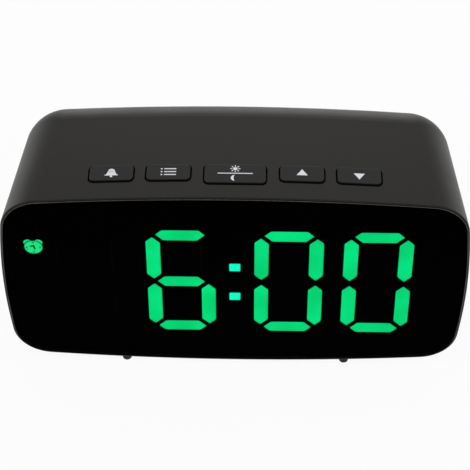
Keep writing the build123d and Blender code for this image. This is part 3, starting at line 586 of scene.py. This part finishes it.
smoked, tree, shader = new_finish(
    "smoked_acrylic", Base_Color="#000000", IOR=1.49, Specular_IOR_Level=0.01, Alpha=0.25)
uneven_gloss(tree, shader, add_node(tree, "TexCoord").outputs["Object"], 25.0, (0.03, 0.08))
# The edge's lighter grey base colour is a painted highlight; its higher specular level is its real
# polish.
edge, tree, shader = new_finish(
    "polished_acrylic_edge_painted_highlight", Base_Color="#3C3C3A", IOR=1.49, Specular_IOR_Level=0.5)
uneven_gloss(tree, shader, add_node(tree, "TexCoord").outputs["Object"], 1.5, (0.2, 0.35))
window.data.materials.append(smoked)
window.data.materials.append(edge)
dress(smoked, ["front_window"])

ink = moulded(
    "carbon_black_ink", 0.5, (0.8, 0.95), 0.002, Base_Color="#010101", Specular_IOR_Level=0.0)
dress(ink, ["segment_film", "alarm_symbol_print"])
tinted = moulded(
    "dark_tinted_acrylic", 0.5, (0.7, 0.9), 0.002, Base_Color="#010101", Specular_IOR_Level=0.0)
dress(tinted, ["unlit_guides"])


# %% Lit acrylic
def lit_acrylic(name, dim, bright, patch, strength):
    """Diffusing acrylic lit from behind: its glow changes a little from place to place."""
    material, tree, shader = new_finish(
        name, Base_Color="#020A06", Roughness=0.5, Specular_IOR_Level=0.05,
        Emission_Strength=strength)
    place = add_node(tree, "TexCoord").outputs["Object"]
    glow = add_node(tree, "TexNoise", {"Vector": place, "Scale": 1 / (patch * MM), "Detail": 1.0})
    share = add_node(tree, "MapRange", {
        "Value": glow.outputs["Fac"], "From Min": 0.3, "From Max": 0.7})
    tint = add_node(tree, "Mix", {
        0: share.outputs["Result"], 6: linear(dim), 7: linear(bright)}, data_type="RGBA")
    tree.links.new(tint.outputs[2], shader.inputs["Emission Color"])
    return material


digit_glow = lit_acrylic("green_lit_acrylic", "#00E87C", "#00FF90", 9.0, 1.36)
dress(digit_glow, ["digit_2_guides", "digit_3_guides", "digit_4_guides"])
colon_glow = lit_acrylic("bright_green_lit_acrylic", "#04FFBE", "#10FFC8", 4.0, 1.75)
dress(colon_glow, ["colon_guides"])
symbol_glow = lit_acrylic("soft_green_lit_acrylic", "#08F480", "#30FF9C", 1.2, 1.4)
dress(symbol_glow, ["alarm_symbol_guide"])

# %% [markdown]
# ## White and grey mouldings, boards and components
#
# Inside are the light box of white styrene, three boards with green solder mask, and their
# components. They show only when the clock is opened, so each gets one or two real marks of
# how it was made: copper lines under the mask, tinned legs, a sleeve on the capacitor.

# %% Styrene, resin, nylon and noryl
styrene = moulded(
    "white_moulded_styrene", 0.4, (0.4, 0.55), 0.005, Base_Color="#E6E5DF", IOR=1.59)
dress(styrene, ["light_box", "ribbon_socket"])
resin = moulded("clear_led_resin", 0.6, (0.15, 0.3), 0.003, Base_Color="#E9DE9A", IOR=1.53)
dress(resin, ["led_chips"])
nylon = moulded("glossy_black_nylon", 0.4, (0.25, 0.35), 0.004, Base_Color="#141414", IOR=1.53)
dress(nylon, [f"{key}_plunger" for key in KEYS])
noryl = moulded("matte_black_noryl", 0.4, (0.45, 0.6), 0.008, Base_Color="#131313", IOR=1.55)
dress(noryl, ["buzzer"])


# %% Solder mask with copper lines
LINE_PITCH, COPPER_THICKNESS = 1.27, 0.03


def solder_mask(name, along):
    """Green solder mask over copper: paler lines run along one axis, a line each 1.27 mm."""
    material, tree, shader = new_finish(name, IOR=1.5, Specular_IOR_Level=0.5)
    place = add_node(tree, "TexCoord").outputs["Object"]
    turned = add_node(tree, "Mapping", {"Vector": place, "Rotation": (math.radians(along), 0, 0)})
    lines = add_node(tree, "TexBrick", {
        "Vector": turned.outputs[0], "Scale": 1 / (10 * LINE_PITCH * MM), "Row Height": 0.1,
        "Brick Width": 1.6, "Mortar Size": 0.02, "Color1": linear("#0E4A26"),
        "Color2": linear("#0B3E20"), "Mortar": linear("#1F7A44")})
    uneven_gloss(tree, shader, place, 0.5, (0.22, 0.36))
    raised = add_node(tree, "Bump", {
        "Height": lines.outputs["Fac"], "Strength": 0.4, "Distance": COPPER_THICKNESS * MM})
    tree.links.new(lines.outputs["Color"], shader.inputs["Base Color"])
    tree.links.new(raised.outputs["Normal"], shader.inputs["Normal"])
    return material


dress(solder_mask("green_solder_mask_upright", 90), ["display_board", "power_board"])
dress(solder_mask("green_solder_mask_level", 0), ["button_board"])


# %% Parts with metal ends
X, Y, Z = 0, 1, 2


def metal_ends(name, node, axis, reach, inner, outer, inner_metal=0.0):
    """A part whose two ends are bare metal, as far in as two reaches along an axis."""
    low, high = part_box(node)
    material, tree, shader = new_finish(name, Roughness=0.4)
    place = add_node(tree, "TexCoord").outputs["Object"]
    split = add_node(tree, "SeparateXYZ", {0: place}).outputs[axis]
    below = add_node(tree, "Math", {
        0: split, 1: low[axis] + reach[0] * MM}, operation="LESS_THAN")
    above = add_node(tree, "Math", {
        0: split, 1: high[axis] - reach[1] * MM}, operation="GREATER_THAN")
    past = add_node(tree, "Math", {0: below.outputs[0], 1: above.outputs[0]}, operation="MAXIMUM")
    shade = add_node(tree, "Mix", {
        0: past.outputs[0], 6: linear(inner), 7: linear(outer)}, data_type="RGBA")
    metal = add_node(tree, "MapRange", {
        "Value": past.outputs[0], "To Min": inner_metal, "To Max": 1.0})
    uneven_gloss(tree, shader, place, 0.4, (0.3, 0.55), 3.0)
    tree.links.new(shade.outputs[2], shader.inputs["Base Color"])
    tree.links.new(metal.outputs["Result"], shader.inputs["Metallic"])
    dress(material, [node])


for chip in ("clock_chip", "led_driver_chip"):
    metal_ends(f"epoxy_with_tinned_legs_{chip}", chip, Z, (1.4, 1.4), "#151516", "#C9C9C4")
# The sleeve of the capacitor goes right down to the board, so only its far end is bare.
metal_ends("sleeved_aluminium_can", "smoothing_capacitor", Y, (-1.0, 0.35), "#10131A", "#C8CACC")
metal_ends("nylon_switch_with_steel_top", "tact_switches", Z, (0.35, 0.3), "#19191A", "#B9BABA")
metal_ends("ceramic_with_tinned_ends", "board_resistors", Z, (0.3, 0.3), "#121214", "#C4C4C0")

# %% [markdown]
# ## Metals
#
# The socket, the contacts, the springs and the crystal's can are steel with a nickel plate:
# a warm pale grey with fine rolling lines. The screws are steel with a black zinc finish. A
# metal keeps the shader's default IOR, and its colour does the work.

# %% Nickel plate and black zinc
def plated(name, hex_colour, gloss, line):
    """A plated metal with fine lines from rolling, drawn long in X and short in Z."""
    material, tree, shader = new_finish(name, Base_Color=hex_colour, Metallic=1.0)
    place = add_node(tree, "TexCoord").outputs["Object"]
    drawn = add_node(tree, "Mapping", {"Vector": place, "Scale": (0.08, 1.0, 1.0)})
    uneven_gloss(tree, shader, drawn.outputs[0], line, gloss, 3.0)
    return material


nickel = plated("nickel_plated_steel", "#C5C1B8", (0.18, 0.34), 0.25)
dress(nickel, ["timing_crystal", "power_socket", "cell_contacts", "cell_springs", "spring_coils"])
zinc = plated("black_zinc_steel", "#4A4B4E", (0.28, 0.42), 0.3)
SCREWED_DOWN = ("display_board", "button_board", "cover", "power_board")
dress(zinc, [f"{held}_screws" for held in SCREWED_DOWN])

# %% [markdown]
# ## Cells, ribbon, leads and feet
#
# A cell has a printed jacket that is wrapped over its rim, and bare steel at both ends. The
# ribbon shows its eight conductors through white polyester. The leads have red and black PVC
# insulation, and the feet are black rubber with a dull, slightly dusty face.

# %% Cells
for cell in ("cell_1", "cell_2", "cell_3"):
    metal_ends(f"printed_jacket_{cell}", cell, X, (1.6, 1.6), "#1E4F8C", "#C9CACB", 0.35)

# %% Ribbon
CONDUCTOR_PITCH, CONDUCTOR_START = 1.0, 0.45
polyester, tree, shader = new_finish("white_polyester_ribbon", IOR=1.57)
place = add_node(tree, "TexCoord").outputs["Object"]
across = add_node(tree, "SeparateXYZ", {0: place}).outputs[0]
turns = add_node(tree, "Math", {0: across, 1: 1 / (CONDUCTOR_PITCH * MM)}, operation="MULTIPLY")
cycle = add_node(tree, "Math", {0: turns.outputs[0]}, operation="FRACT")
line = add_node(tree, "Math", {0: cycle.outputs[0], 1: CONDUCTOR_START}, operation="GREATER_THAN")
tint = add_node(tree, "Mix", {
    0: line.outputs[0], 6: linear("#E9E8E2"), 7: linear("#A9A49A")}, data_type="RGBA")
tree.links.new(tint.outputs[2], shader.inputs["Base Color"])
uneven_gloss(tree, shader, place, 2.0, (0.3, 0.45))
dress(polyester, ["button_ribbon"])

# %% Leads and feet
for colour, base, pole in (("red", "#B3161B", "positive"), ("black", "#161617", "negative")):
    pvc = moulded(f"{colour}_pvc", 0.5, (0.35, 0.5), 0.01, Base_Color=base, IOR=1.53)
    dress(pvc, [f"battery_{pole}_lead", f"supply_{pole}_lead"])
rubber = moulded(
    "black_rubber", 0.25, (0.75, 0.9), 0.02,
    Base_Color="#1A1A1A", IOR=1.52, Specular_IOR_Level=0.35)
dress(rubber, [f"{end}_{side}_foot" for end in ("front", "rear") for side in ("left", "right")])

# %% Pad print on the keys
print_white = moulded(
    "white_pad_print", 0.3, (0.5, 0.65), 0.002, Base_Color="#E8E9EE", Specular_IOR_Level=0.4)
dress(print_white, [mark.name for mark in marks])

# %% [markdown]
# ## Finish
#
# The view settings stay plain, so that a colour renders about as it is written. The sizes of
# the CAD box and the dressed model's box are printed, to see that nothing has grown.

# %% Print the sizes of the boxes
bpy.context.scene.view_settings.view_transform = "Standard"
dressed_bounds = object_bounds()
boxes = {
    "cad": [[float(value) for value in corner] for corner in cad_bounds],
    "scene": [[float(value) for value in corner] for corner in dressed_bounds],
}
for name, (low, high) in boxes.items():
    print(name, [round((b - a) / MM, 2) for a, b in zip(low, high)], "mm")
